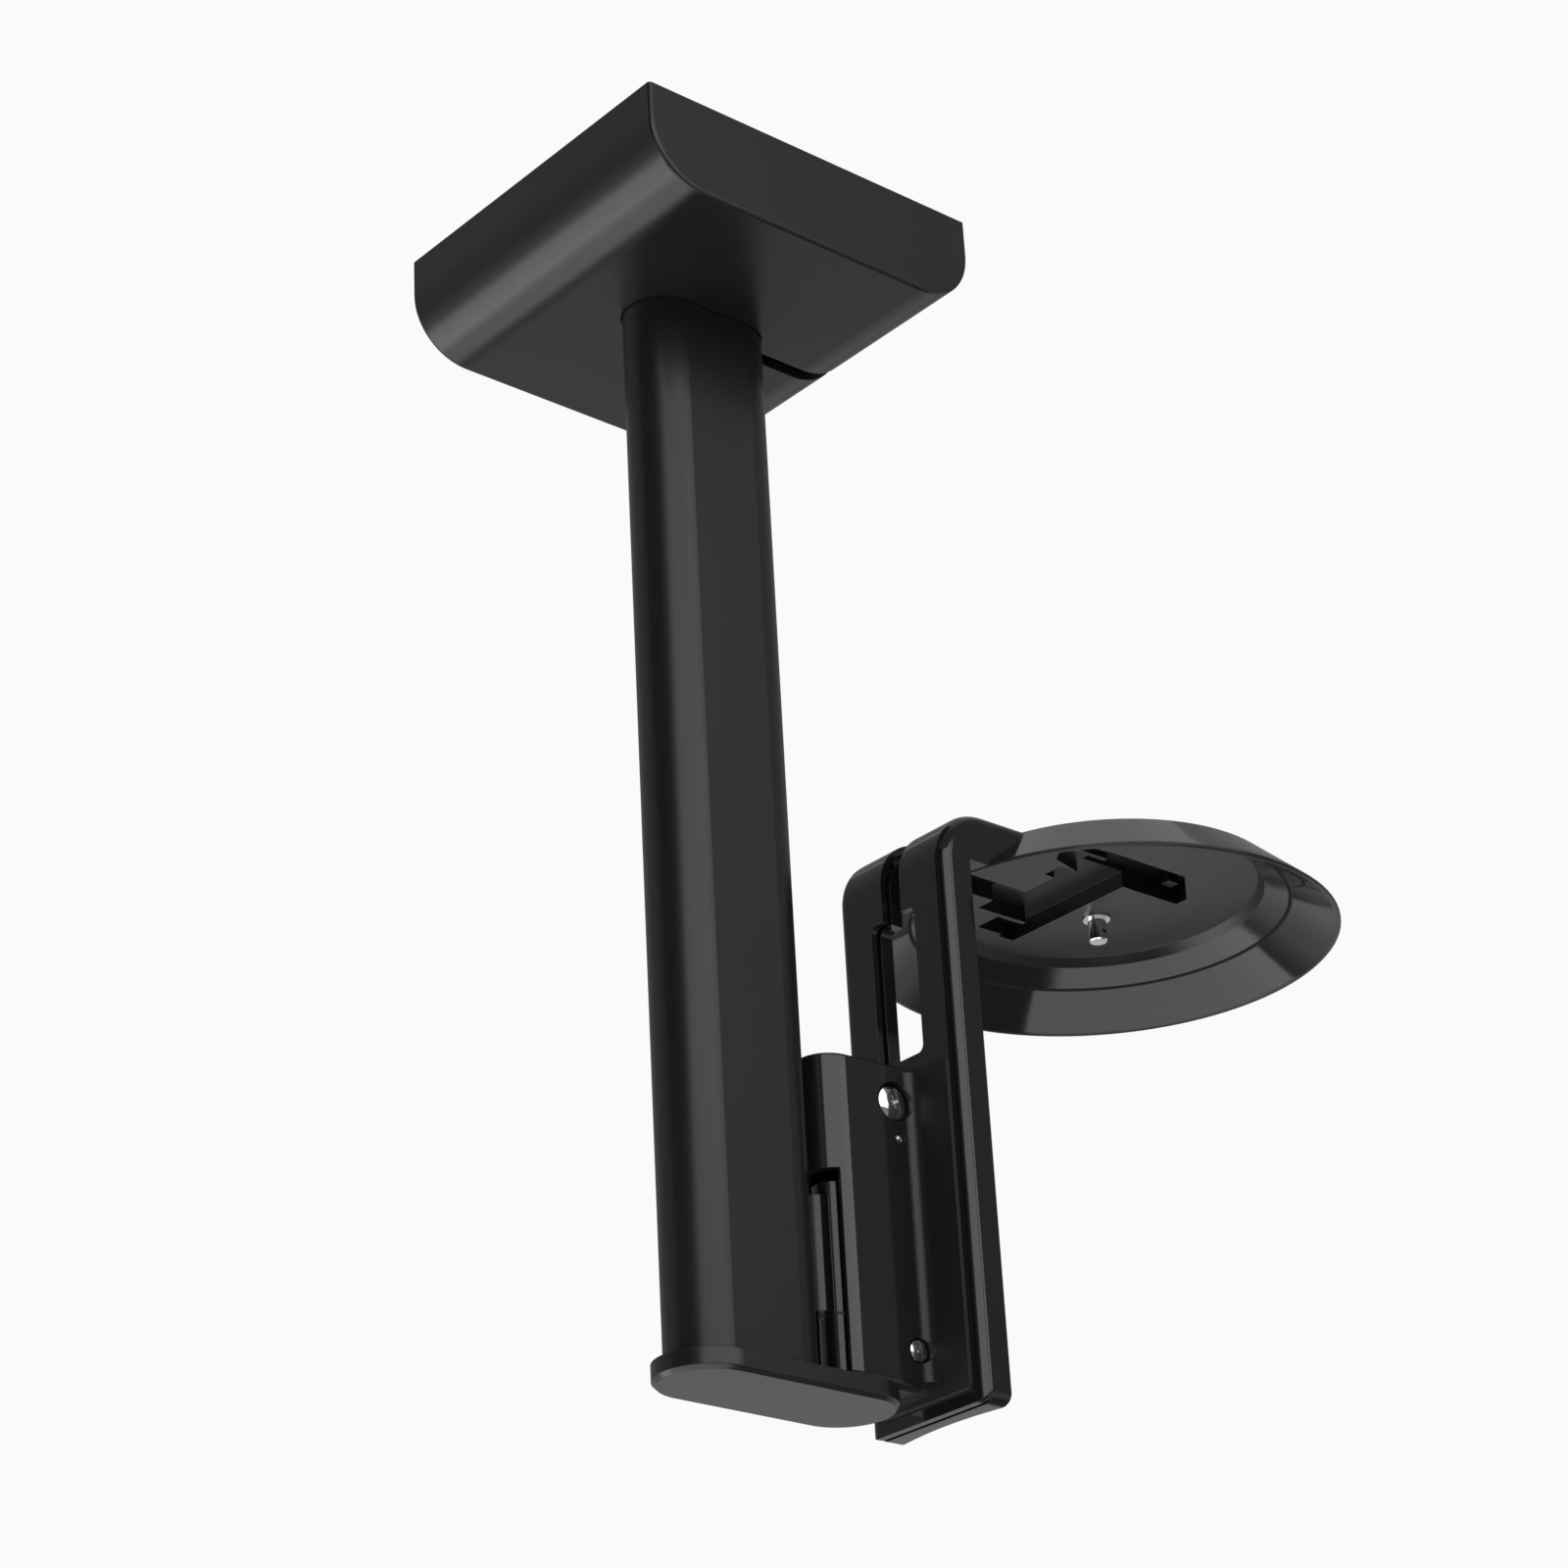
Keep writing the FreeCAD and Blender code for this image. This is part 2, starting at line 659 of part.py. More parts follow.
def window_form(margin):
    """The cable window: wide below, narrow above and over the bend."""
    y = cradle_offset
    wide = window_half + margin
    slim = window_narrow + margin
    low = foot_z + window_rise - margin
    step = foot_z + window_step + margin
    x0 = cradle_x - 1
    x1 = cradle_front + 1
    lower = box(x0, x1, y - wide, y + wide, low, step)
    corners = [e for e in lower.Edges if e.BoundBox.XMax - e.BoundBox.XMin > 1]
    lower = lower.makeFillet(window_corner, corners)
    upper = box(x0, x1, y - slim, y + slim, step - 3, arm_top + 1)
    over = box(x0, cradle_x + window_arm + margin, y - slim, y + slim, arm_top - arm_thickness - 1, arm_top + 1)
    return lower.fuse(upper).fuse(over)


def groove_form():
    """Shadow groove between back cover and frame, along the window and under the foot."""
    layer = core(groove_back).cut(core(groove_front))
    foot = box(cradle_x, cradle_front, cradle_near - 1, cradle_far + 1, cap_bottom, cap_bottom + foot_groove_depth)
    return layer.common(window_form(groove_depth).fuse(foot))


def back_cover():
    cover = cradle_form().common(box(0, cradle_x + skin_end, cradle_near, cradle_far, cap_bottom, arm_top))
    cover = cover.cut(core(skin)).cut(window_form(0)).cut(groove_form())
    h = block_half + running_gap
    z = tongue_half + tongue_room
    cover = cover.cut(box(cradle_x, cradle_front, -h, h, lock_z - z, lock_z + z))
    for y, z in cradle_screw_places():
        cover = cover.cut(rod_x(small_shank + thread_gap, y, z, 0, cradle_front))
    return cover.removeSplitter()


def ring_profile():
    fall = (crown_z - rim_z - rim_lip) / (rim_radius - crown_radius)
    at_bore = crown_z - (bore_radius - crown_radius) * fall
    at_throat = crown_z + (crown_radius - throat_radius) * crown_slope
    return [
        (throat_radius, at_throat),
        (crown_radius, crown_z),
        (rim_radius, rim_z + rim_lip),
        (rim_radius, rim_z + rim_round),
        (rim_radius - rim_round, rim_z),
        (rim_radius - rim_lip, rim_z),
        (bore_radius + rim_round, bore_z),
        (bore_radius, bore_z),
        (bore_radius, at_bore - lip_thickness),
        (throat_radius, at_throat - lip_thickness),
    ]


def hollow_profile():
    """Everything inside the ring: the tray's place and the open dish below it."""
    ring = ring_profile()
    high = arm_top + 40
    low = rim_z - 40
    return [(0, high), (throat_radius, high)] + ring[:4:-1] + [(rim_radius - rim_lip, low), (0, low)]


def cradle():
    form = cradle_form()
    frame = form.common(core(skin + skin_gap))
    end = cradle_x + skin_end + skin_gap
    frame = frame.fuse(form.common(box(end, dish_x, cradle_near, cradle_far, cap_bottom, arm_top)))
    frame = frame.fuse(turned(ring_profile())).cut(turned(hollow_profile()))
    frame = frame.cut(window_form(0)).cut(groove_form())
    for y, z in cradle_screw_places():
        tip = V(front_x(y) - 0.3, y, z)
        frame = frame.cut(flat_head_hole(tip, V(-1, 0, 0), small_shank, small_head, small_length))
    return frame.removeSplitter()


def cradle_screws():
    back = V(-1, 0, 0)
    return [flat_head(V(front_x(y) - 0.3, y, z), back, small_shank, small_head, small_length - 0.6)
            for y, z in cradle_screw_places()]


def from_dish(points):
    return [(dish_x + x, cradle_offset + y) for x, y in points]


def grown(points, amount):
    """The points moved out from their middle by amount along each axis."""
    mx = sum(x for x, y in points) / len(points)
    my = sum(y for x, y in points) / len(points)
    return [(x + math.copysign(amount, x - mx), y + math.copysign(amount, y - my)) for x, y in points]


def seat_tray():
    ring = ring_profile()
    inner = throat_radius - tray_gap
    outer = bore_radius - tray_gap
    top = ring[0][1] + (inner - tray_top_radius) * crown_slope
    tray = turned([
        (0, top),
        (tray_top_radius, top),
        (inner, ring[0][1]),
        (inner, ring[9][1] - tray_gap),
        (outer, ring[8][1] - tray_gap),
        (outer, bore_z),
        (seat_radius + seat_draft, seat_z - seat_depth),
        (seat_radius, seat_z),
        (0, seat_z),
    ])
    for points, depth in seat_pockets:
        roof = seat_z + depth + pocket_roof
        tray = tray.fuse(prism(from_dish(grown(points, pocket_roof)), seat_z + 0.5, roof))
    for points, depth in seat_pockets:
        tray = tray.cut(prism(from_dish(points), seat_z - 1, seat_z + depth))
    tray = tray.fuse(prism(from_dish(seat_block), seat_z, seat_z + seat_block_height))
    for points, low, high in hook_blocks:
        tray = tray.fuse(prism(from_dish(points), seat_z + low, seat_z + high))
    x, y = from_dish([(stud_x, stud_y)])[0]
    sink = seat_z + stud_flange_sink
    hole = rod_z(stud_shank_radius + thread_gap, x, y, seat_z, sink + stud_shank_height)
    hole = hole.fuse(rod_z(stud_flange_radius + thread_gap, x, y, seat_z, sink))
    return tray.cut(hole).removeSplitter()


def locating_stud():
    x, y = from_dish([(stud_x, stud_y)])[0]
    end = seat_z - stud_height
    sink = seat_z + stud_flange_sink
    stud = rod_z(stud_radius, x, y, end, seat_z)
    stud = stud.makeChamfer(0.3, level_edges(stud, end))
    stud = stud.fuse(rod_z(stud_flange_radius, x, y, sink - stud_flange_height, sink))
    stud = stud.fuse(rod_z(stud_shank_radius, x, y, sink, sink + stud_shank_height - 0.2))
    return stud.cut(rod_y(stud_bore_radius, x, end + 2.4, y - stud_radius, y)).removeSplitter()


def export(maker):
    shape = maker()
    if isinstance(shape, list):
        shape = Part.makeCompound(shape)
    shape.exportStep("parts/" + maker.__name__ + ".step")


os.makedirs("parts", exist_ok=True)
for maker in (ceiling_plate, ceiling_cover, column, column_screws, end_cap, hinge_bracket, hinge_bracket_screws,
              hinge_pin, hinge_washer, swivel_block, tilt_housing, lock_bolt, lock_nut, pivot_screw,
              pivot_washers, grub_screw, back_cover, cradle, cradle_screws, seat_tray, locating_stud):
    export(maker)
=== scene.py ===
import math

import bpy
from mathutils import Matrix, Vector


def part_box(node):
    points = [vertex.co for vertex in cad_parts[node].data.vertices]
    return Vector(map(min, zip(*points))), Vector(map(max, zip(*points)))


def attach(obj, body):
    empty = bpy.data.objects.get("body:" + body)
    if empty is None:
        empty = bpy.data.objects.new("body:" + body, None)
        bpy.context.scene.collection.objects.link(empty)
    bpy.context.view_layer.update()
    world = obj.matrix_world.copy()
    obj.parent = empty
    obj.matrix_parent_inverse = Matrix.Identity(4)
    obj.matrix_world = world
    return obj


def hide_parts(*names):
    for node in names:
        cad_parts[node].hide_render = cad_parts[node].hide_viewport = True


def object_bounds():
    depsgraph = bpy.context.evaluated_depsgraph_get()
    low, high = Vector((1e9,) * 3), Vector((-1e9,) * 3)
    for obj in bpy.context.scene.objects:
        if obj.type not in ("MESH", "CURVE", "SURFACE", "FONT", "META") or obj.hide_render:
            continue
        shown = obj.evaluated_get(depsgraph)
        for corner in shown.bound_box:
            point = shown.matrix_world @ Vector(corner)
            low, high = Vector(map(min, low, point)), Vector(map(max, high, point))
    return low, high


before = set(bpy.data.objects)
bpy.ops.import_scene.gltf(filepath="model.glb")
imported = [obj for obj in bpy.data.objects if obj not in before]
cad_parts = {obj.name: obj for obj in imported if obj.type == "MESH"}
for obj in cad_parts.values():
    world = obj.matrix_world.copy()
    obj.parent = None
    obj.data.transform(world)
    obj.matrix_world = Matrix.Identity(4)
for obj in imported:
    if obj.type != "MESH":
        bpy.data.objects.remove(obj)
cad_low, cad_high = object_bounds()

# Looks of a speaker ceiling mount, in metres: finishes, turned fasteners, ribs, studio and camera.

# Camera of the photograph
CAMERA_PLACE = (-0.55859, -0.65214, -0.57279)
CAMERA_AZIMUTH = math.radians(41.714)
CAMERA_ELEVATION = math.radians(25.864)
CAMERA_ROLL = math.radians(-3.2267)
CAMERA_LENS = 90.79
CAMERA_SENSOR = 36.0
CAMERA_CLIP = (0.01, 100.0)

# Domed screws: radii of head and shank, height of the head, the sink of the lock bolt, and the plain neck
LOCK_HEAD = 0.0042
LOCK_HEAD_HEIGHT = 0.0023
LOCK_SINK = 0.0008
LOCK_SHANK = 0.0020
PIVOT_HEAD = 0.0026
PIVOT_HEAD_HEIGHT = 0.0016
PIVOT_SHANK = 0.0015
DOMED_NECK = 0.0008

# Sunk screws: radii of head and shank, and the plain neck under the head
COLUMN_SCREW = (0.00275, 0.0015)
CRADLE_SCREW = (0.00235, 0.00125)
SUNK_NECK = 0.0006

# Grub screw: width of the hexagon across its flats, its depth, and the chamfer round the face
GRUB_SOCKET = 0.0013
GRUB_SOCKET_DEPTH = 0.0012
GRUB_CHAMFER = 0.0002

# Shares of a head's radius: the dome's rise and flat middle, the sunk head's edge, the grub screw's face
DOME_RISE = 0.13
DOME_MIDDLE = 0.04
SUNK_EDGE = 0.03
GRUB_FACE = 0.86

# Cross recesses: span, width and depth as shares of the head's radius, or a domed head's depth of its height
DOMED_RECESS = (1.1, 0.26, 0.62)
SUNK_RECESS = (1.15, 0.28, 0.45)
RECESS_TIP = 0.45
RECESS_TURN = math.radians(22)

# Turned bars: sides, steps of a dome, thread with its depth as a share of the radius, and smoothing
SIDES = 40
DOME_STEPS = 8
THREAD_DEPTH = 0.14
THREAD_PITCH = 0.0006
SMOOTH_SCREW = math.radians(35)

# Dish and seat: radii about the dish's axis, and heights, which also bound the painted shade in the seam and
# the painted light and shade on the seat
RIM_RADIUS = 0.0614
RIM_MARGIN = 0.001
RIM_TOP = -0.1645
RIM_ROUNDING = 0.0016
SEAM_SHADE_RADII = (0.0488, 0.0498)
SEAM_SHADE_TOP = -0.1590
SEAT_FACE = -0.1546
SEAT_EDGE = -0.15702

# Housing: its flange and the strip beside it, and how far a mask reaches past the face it is meant for
FLANGE_THICKNESS = 0.0012
STRIP_WIDTH = 0.0030
SKIN = 0.0001

# Ribs under the arm, and the ring's outer slope that bounds them, as pairs of radius and height
RIB_X = (0.0575, 0.0780)
RIB_Z = (-0.1692, -0.1622)
RIB_HALF = 0.01973
RIB_SLOT = 0.0039
RING_LOW = (0.0674, -0.1748)
RING_HIGH = (0.0460, -0.1552)
RING_SIDES = 128
SMOOTH_RIB = math.radians(30)

# Surface effects: detail of the two noises, samples and gain of rubbed edges, and their usual reach
GRAIN_DETAIL = 3.0
MOTTLE_DETAIL = 4.0
EDGE_SAMPLES = 6
EDGE_GAIN = 3.0
EDGE_REACH = 0.0002

# Pale surroundings
PALE = (0.956, 0.956, 0.956, 1.0)
WORLD_LIGHT = 0.5
FLOOR_HEIGHT = -3.6
FLOOR_SIZE = 60.0
FLOOR_GLOW = 0.565

# Dark tent, with its tones as pairs of height, from 0 at the bottom to 1 at the top, and brightness
TENT_RADIUS = 3.3
TENT_SEGMENTS = 48
TENT_RINGS = 24
TENT_TONES = ((0.0, 0.07), (0.16, 0.09), (0.24, 0.52), (0.40, 0.52), (0.50, 0.22), (1.0, 0.25))

# Black card: turns to the camera's right, in degrees, of its two sides
FLAG_TURNS = (-72, -28)
FLAG_DISTANCE = 2.4
FLAG_HEIGHT = 1.5

# Softboxes: angles in degrees, sizes as width and height, power in watts, the key's per square metre
KEY_PANELS = (("key_softbox_left", -11, 35), ("key_softbox_right", 35, 73))
KEY_ELEVATION = 25
KEY_DISTANCE = 2.2
KEY_HEIGHT = 1.2
KEY_POWER = 5.9
LOW_SPOT = (-0.3, 0.55, -1.9)
LOW_AIM = (-0.3, 0.55, 0.0)
LOW_SIZE = (1.82, 3.0)
LOW_POWER = 30.0
SIDE_TURN = -94
SIDE_ELEVATION = -31
SIDE_DISTANCE = 2.2
SIDE_SIZE = (1.8, 1.0)
SIDE_POWER = 12.5
TOP_SPOT = (0.4, 0.3, 2.2)
TOP_SIZE = (2.5, 2.5)
TOP_POWER = 5.5


def middle(node):
    low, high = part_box(node)
    return (low + high) / 2


def grey(value):
    return (value, value, value)


def opaque(colour):
    return (*colour, 1.0)


# Places taken from the frame
MIDDLE = (cad_low + cad_high) / 2
FLANGE_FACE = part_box("tilt_housing")[1].x - FLANGE_THICKNESS
DISH = Vector((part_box("cradle")[1].x - RIM_RADIUS, middle("cradle").y, 0.0))


# Selecting and editing


def deselect():
    bpy.ops.object.select_all(action="DESELECT")


def pick(piece):
    deselect()
    piece.select_set(True)
    bpy.context.view_layer.objects.active = piece


def edit(piece):
    pick(piece)
    bpy.ops.object.mode_set(mode="EDIT")
    bpy.ops.mesh.select_mode(type="FACE")


def leave_edit():
    bpy.ops.object.mode_set(mode="OBJECT")


def settle(piece):
    """Puts the object's place into its mesh, so that the object itself stays at the origin."""
    pick(piece)
    bpy.ops.object.transform_apply(location=True, rotation=True, scale=True)


def join(pieces, name):
    """Makes one object of several, with the given name."""
    deselect()
    for piece in pieces:
        piece.select_set(True)
    bpy.context.view_layer.objects.active = pieces[0]
    bpy.ops.object.join()
    pieces[0].name = name
    return pieces[0]


# Nodes


def feed(tree, socket, value):
    """Links another node's socket to this one, or sets this one to a value."""
    if isinstance(value, bpy.types.NodeSocket):
        tree.links.new(value, socket)
    else:
        socket.default_value = value


def math_node(tree, operation, first, second):
    node = tree.nodes.new("ShaderNodeMath")
    node.operation = operation
    feed(tree, node.inputs[0], first)
    feed(tree, node.inputs[1], second)
    return node.outputs["Value"]


def vector_node(tree, operation, *values):
    node = tree.nodes.new("ShaderNodeVectorMath")
    node.operation = operation
    for socket, value in zip(node.inputs, values):
        feed(tree, socket, value)
    return node


def colour_mix(tree, factor, first, second):
    """Colour that goes from the first to the second as the factor goes from 0 to 1."""
    node = tree.nodes.new("ShaderNodeMix")
    node.data_type = "RGBA"
    node.clamp_factor = True
    feed(tree, node.inputs["Factor"], factor)
    feed(tree, node.inputs["A"], first)
    feed(tree, node.inputs["B"], second)
    return node.outputs["Result"]


def own_place(tree):
    """Where a point lies in the piece's own space."""
    return tree.nodes.new("ShaderNodeTexCoord").outputs["Object"]


def along(tree, axis):
    """How far a point lies along X, Y or Z of the piece's own space."""
    split = tree.nodes.new("ShaderNodeSeparateXYZ")
    tree.links.new(own_place(tree), split.inputs[0])
    return split.outputs[axis]


# Effects that several finishes share


def new_group(name, inputs, outputs):
    group = bpy.data.node_groups.new(name, "ShaderNodeTree")
    for label, kind in inputs:
        group.interface.new_socket(name=label, in_out="INPUT", socket_type=kind)
    for label, kind in outputs:
        group.interface.new_socket(name=label, in_out="OUTPUT", socket_type=kind)
    return group, group.nodes.new("NodeGroupInput"), group.nodes.new("NodeGroupOutput")


def noise(tree, scale, detail):
    node = tree.nodes.new("ShaderNodeTexNoise")
    node.inputs["Detail"].default_value = detail
    tree.links.new(own_place(tree), node.inputs["Vector"])
    tree.links.new(scale, node.inputs["Scale"])
    return node.outputs[0]


def make_grain_group():
    """Fine grain for bump, and slow mottling for colour and roughness, in the piece's own space."""
    group, given, out = new_group(
        "surface_grain",
        [("Scale", "NodeSocketFloat"), ("Mottle Scale", "NodeSocketFloat")],
        [("Height", "NodeSocketFloat"), ("Mottle", "NodeSocketFloat")],
    )
    fine = noise(group, given.outputs["Scale"], GRAIN_DETAIL)
    slow = noise(group, given.outputs["Mottle Scale"], MOTTLE_DETAIL)
    group.links.new(fine, out.inputs["Height"])
    group.links.new(slow, out.inputs["Mottle"])
    return group


def make_edge_group():
    """Where an edge has been rubbed, and the normal of its small rounding."""
    group, given, out = new_group(
        "rubbed_edges",
        [("Reach", "NodeSocketFloat")],
        [("Mask", "NodeSocketFloat"), ("Normal", "NodeSocketVector")],
    )
    rounding = group.nodes.new("ShaderNodeBevel")
    rounding.samples = EDGE_SAMPLES
    group.links.new(given.outputs["Reach"], rounding.inputs["Radius"])
    surface = group.nodes.new("ShaderNodeNewGeometry")
    agree = vector_node(group, "DOT_PRODUCT", rounding.outputs[0], surface.outputs["Normal"])
    turn = math_node(group, "SUBTRACT", 1.0, agree.outputs["Value"])
    group.links.new(math_node(group, "MULTIPLY", turn, EDGE_GAIN), out.inputs["Mask"])
    group.links.new(rounding.outputs[0], out.inputs["Normal"])
    return group


GRAIN = make_grain_group()
EDGES = make_edge_group()


# Masks of duller or darker patches, some of which are painted light or shade


def beyond(tree, axis, start):
    """One where the piece lies beyond start along X, Y or Z."""
    return math_node(tree, "GREATER_THAN", along(tree, axis), start)


def between(tree, axis, low, high):
    """One where the piece lies between two values along X, Y or Z."""
    return math_node(tree, "SUBTRACT", beyond(tree, axis, low), beyond(tree, axis, high))


def dish_band(tree, inner, outer, top):
    """One between two radii about the dish's axis, below the height top."""
    away = vector_node(tree, "SUBTRACT", own_place(tree), DISH)
    flat = vector_node(tree, "MULTIPLY", away.outputs["Vector"], (1.0, 1.0, 0.0))
    radius = vector_node(tree, "LENGTH", flat.outputs["Vector"]).outputs["Value"]
    outside = math_node(tree, "GREATER_THAN", radius, inner)
    inside = math_node(tree, "LESS_THAN", radius, outer)
    band = math_node(tree, "MULTIPLY", outside, inside)
    below = math_node(tree, "SUBTRACT", 1.0, beyond(tree, "Z", top))
    return math_node(tree, "MULTIPLY", band, below)


# Patches: mask, its arguments, roughness added, tone; on the seat and in the seam the tone is painted light
# or shade
FLANGE = (beyond, ("X", FLANGE_FACE - 2 * SKIN), 0.18, grey(0.011))
STRIP = (beyond, ("X", FLANGE_FACE - STRIP_WIDTH), 0.28, grey(0.011))
# painted light: the seat's floor is a lighter grey than the rest of the tray, so that it looks brightly lit;
# its added roughness is real
SEAT_FLOOR_PAINTED_LIGHT = (between, ("Z", SEAT_FACE - SKIN, SEAT_FACE + SKIN), 0.25, grey(0.026))
# painted shade: the seat's wall is near black, darker than the tray, where shade falls on it
SEAT_WALL_PAINTED_SHADE = (between, ("Z", SEAT_EDGE, SEAT_FACE - SKIN), 0.22, grey(0.004))
# painted shade: the pockets in the seat are near black, for the shade that falls inside them
SEAT_POCKETS_PAINTED_SHADE = (beyond, ("Z", SEAT_FACE + 2 * SKIN), 0.30, grey(0.003))
# painted shade: a near-black, rough band in the seam between the seat tray and the dish's ring, where a
# shadow falls in the gap
SEAM_PAINTED_SHADE = (dish_band, (*SEAM_SHADE_RADII, SEAM_SHADE_TOP), 0.85, grey(0.001))

FINISHES = {
    "satin_black_plastic": dict(
        dark=grey(0.010), light=grey(0.014), rubbed=grey(0.03), roughness=0.26, spread=0.05,
        grain=5200.0, bump=0.000012, mottle=45.0, reach=0.0003),
    "satin_black_aluminium": dict(
        dark=grey(0.010), light=grey(0.013), rubbed=grey(0.05), roughness=0.31, spread=0.05,
        grain=2600.0, bump=0.000004, mottle=30.0, specular=0.45),
    "gloss_black_metal": dict(
        dark=grey(0.010), light=grey(0.013), rubbed=grey(0.02), roughness=0.09, spread=0.03,
        grain=900.0, bump=0.000002, mottle=60.0, patches=(STRIP, FLANGE)),
    # the cradle's seam patch is painted shade
    "gloss_black_plastic": dict(
        dark=grey(0.008), light=grey(0.011), rubbed=grey(0.015), roughness=0.08, spread=0.03,
        grain=1000.0, bump=0.000002, mottle=50.0, patches=(SEAM_PAINTED_SHADE,), rim=RIM_ROUNDING),
    # the seat tray's patches paint light on its floor and shade on its wall, in its pockets and in the seam
    "seat_black_plastic": dict(
        dark=grey(0.008), light=grey(0.011), rubbed=grey(0.02), roughness=0.11, spread=0.03,
        grain=4800.0, bump=0.000006, mottle=60.0, patches=(SEAT_FLOOR_PAINTED_LIGHT, SEAT_WALL_PAINTED_SHADE, SEAT_POCKETS_PAINTED_SHADE, SEAM_PAINTED_SHADE)),
    "hinge_black_metal": dict(
        dark=grey(0.006), light=grey(0.009), rubbed=grey(0.04), roughness=0.13, spread=0.04,
        grain=2600.0, bump=0.000006, mottle=80.0),
    "screw_steel": dict(
        dark=grey(0.42), light=grey(0.52), rubbed=grey(0.62), roughness=0.28, spread=0.10,
        grain=6000.0, bump=0.000003, mottle=400.0, metallic=1.0),
    "bright_chrome": dict(
        dark=grey(0.70), light=grey(0.76), rubbed=grey(0.82), roughness=0.07, spread=0.04,
        grain=7000.0, bump=0.000001, mottle=500.0, metallic=1.0, reach=0.0001),
    "plated_steel": dict(
        dark=(0.32, 0.33, 0.34), light=(0.44, 0.45, 0.46), rubbed=grey(0.55), roughness=0.42, spread=0.16,
        grain=3000.0, bump=0.000006, mottle=140.0, metallic=1.0),
    "washer_nylon": dict(
        dark=grey(0.012), light=grey(0.018), rubbed=grey(0.03), roughness=0.42, spread=0.08,
        grain=3500.0, bump=0.000005, mottle=200.0),
}


def add_group(tree, group):
    node = tree.nodes.new("ShaderNodeGroup")
    node.node_tree = group
    return node


def finish(name, dark, light, rubbed, roughness, spread, grain, bump, mottle,
           metallic=0.0, specular=0.5, reach=EDGE_REACH, patches=(), rim=0.0):
    """Finish with grain in bump, mottling in colour and roughness, and edges rubbed to another colour.

    The colour is mottled between dark and light, and the roughness changes by spread with it.
    grain and mottle are the scales of the fine and the slow noise, and bump is the grain's height.
    reach is how far the rounding of an edge reaches, and rim is how much further it does on the dish's rim.
    Each patch holds the maker of a mask, its arguments, the roughness added there and the tone there, which
    on the seat and in the seam is painted light or shade.
    """
    material = bpy.data.materials.new(name)
    material.use_nodes = True
    tree = material.node_tree
    shader = tree.nodes["Principled BSDF"]
    shader.inputs["Metallic"].default_value = metallic
    shader.inputs["Specular IOR Level"].default_value = specular

    texture = add_group(tree, GRAIN)
    texture.inputs["Scale"].default_value = grain
    texture.inputs["Mottle Scale"].default_value = mottle
    edges = add_group(tree, EDGES)
    edges.inputs["Reach"].default_value = reach
    if rim:
        on_rim = dish_band(tree, 0.0, RIM_RADIUS + RIM_MARGIN, RIM_TOP)
        more = math_node(tree, "MULTIPLY", on_rim, rim)
        tree.links.new(math_node(tree, "ADD", more, reach), edges.inputs["Reach"])

    mottled = colour_mix(tree, texture.outputs["Mottle"], opaque(dark), opaque(light))
    tone = colour_mix(tree, edges.outputs["Mask"], mottled, opaque(rubbed))
    change = math_node(tree, "MULTIPLY", texture.outputs["Mottle"], spread)
    level = math_node(tree, "ADD", change, roughness - spread / 2)
    # on the seat and in the seam, the patch's tone is painted light or shade
    for make_mask, arguments, rougher, patch_tone in patches:
        mask = make_mask(tree, *arguments)
        level = math_node(tree, "ADD", level, math_node(tree, "MULTIPLY", mask, rougher))
        tone = colour_mix(tree, mask, tone, opaque(patch_tone))
    tree.links.new(tone, shader.inputs["Base Color"])
    tree.links.new(level, shader.inputs["Roughness"])

    relief = tree.nodes.new("ShaderNodeBump")
    relief.inputs["Distance"].default_value = bump
    relief.inputs["Strength"].default_value = 1.0
    tree.links.new(texture.outputs["Height"], relief.inputs["Height"])
    tree.links.new(edges.outputs["Normal"], relief.inputs["Normal"])
    tree.links.new(relief.outputs["Normal"], shader.inputs["Normal"])
    return material


def make_finishes():
    return {name: finish(name, **look) for name, look in FINISHES.items()}


# Pieces and what they ride on


def dress(piece, slot, body, finishes, smooth):
    """Smooths a new piece, gives it the finish of its slot and lets it ride a body."""
    pick(piece)
    bpy.ops.object.shade_smooth_by_angle(angle=smooth)
    piece.data.materials.clear()
    piece.data.materials.append(finishes[slot])
    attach(piece, body)


def stand_for(piece, node, slot, body, finishes):
    """Puts a fastener in the place of the frame's node."""
    dress(piece, slot, body, finishes, SMOOTH_SCREW)
    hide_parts(node)


def dress_frame(finishes):
    """Every node of the frame takes the finish of its own slot."""
    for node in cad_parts.values():
        slot = node.data.materials[0].name
        node.data.materials[0] = finishes[slot.split(".")[0]]


# Fasteners, each modelled along Z with the face of its head at z = 0 and its shank below


def turned_bar(name, profile):
    """Bar turned about Z from pairs of radius and depth below the head's face."""
    radius, depth = profile[0]
    deselect()
    bpy.ops.mesh.primitive_circle_add(vertices=SIDES, radius=radius, fill_type="NGON")
    bar = bpy.context.object
    bar.name = name
    edit(bar)
    bpy.ops.mesh.select_all(action="SELECT")
    for next_radius, next_depth in profile[1:]:
        bpy.ops.mesh.extrude_region_move(TRANSFORM_OT_translate={"value": (0, 0, depth - next_depth)})
        ratio = next_radius / radius
        bpy.ops.transform.resize(value=(ratio, ratio, 1.0), center_override=(0, 0, -next_depth))
        radius, depth = next_radius, next_depth
    bpy.ops.mesh.select_all(action="SELECT")
    bpy.ops.mesh.normals_make_consistent(inside=False)
    leave_edit()
    return bar


def thread(shank, start, end):
    """Profile of a thread on a shank, as rings from start to end."""
    turns = max(2, int((end - start) / THREAD_PITCH))
    pitch = (end - start) / turns
    root = shank * (1 - THREAD_DEPTH)
    rings = []
    for i in range(turns):
        rings += [(root, start + i * pitch), (shank, start + (i + 0.5) * pitch)]
    return rings + [(root, end)]


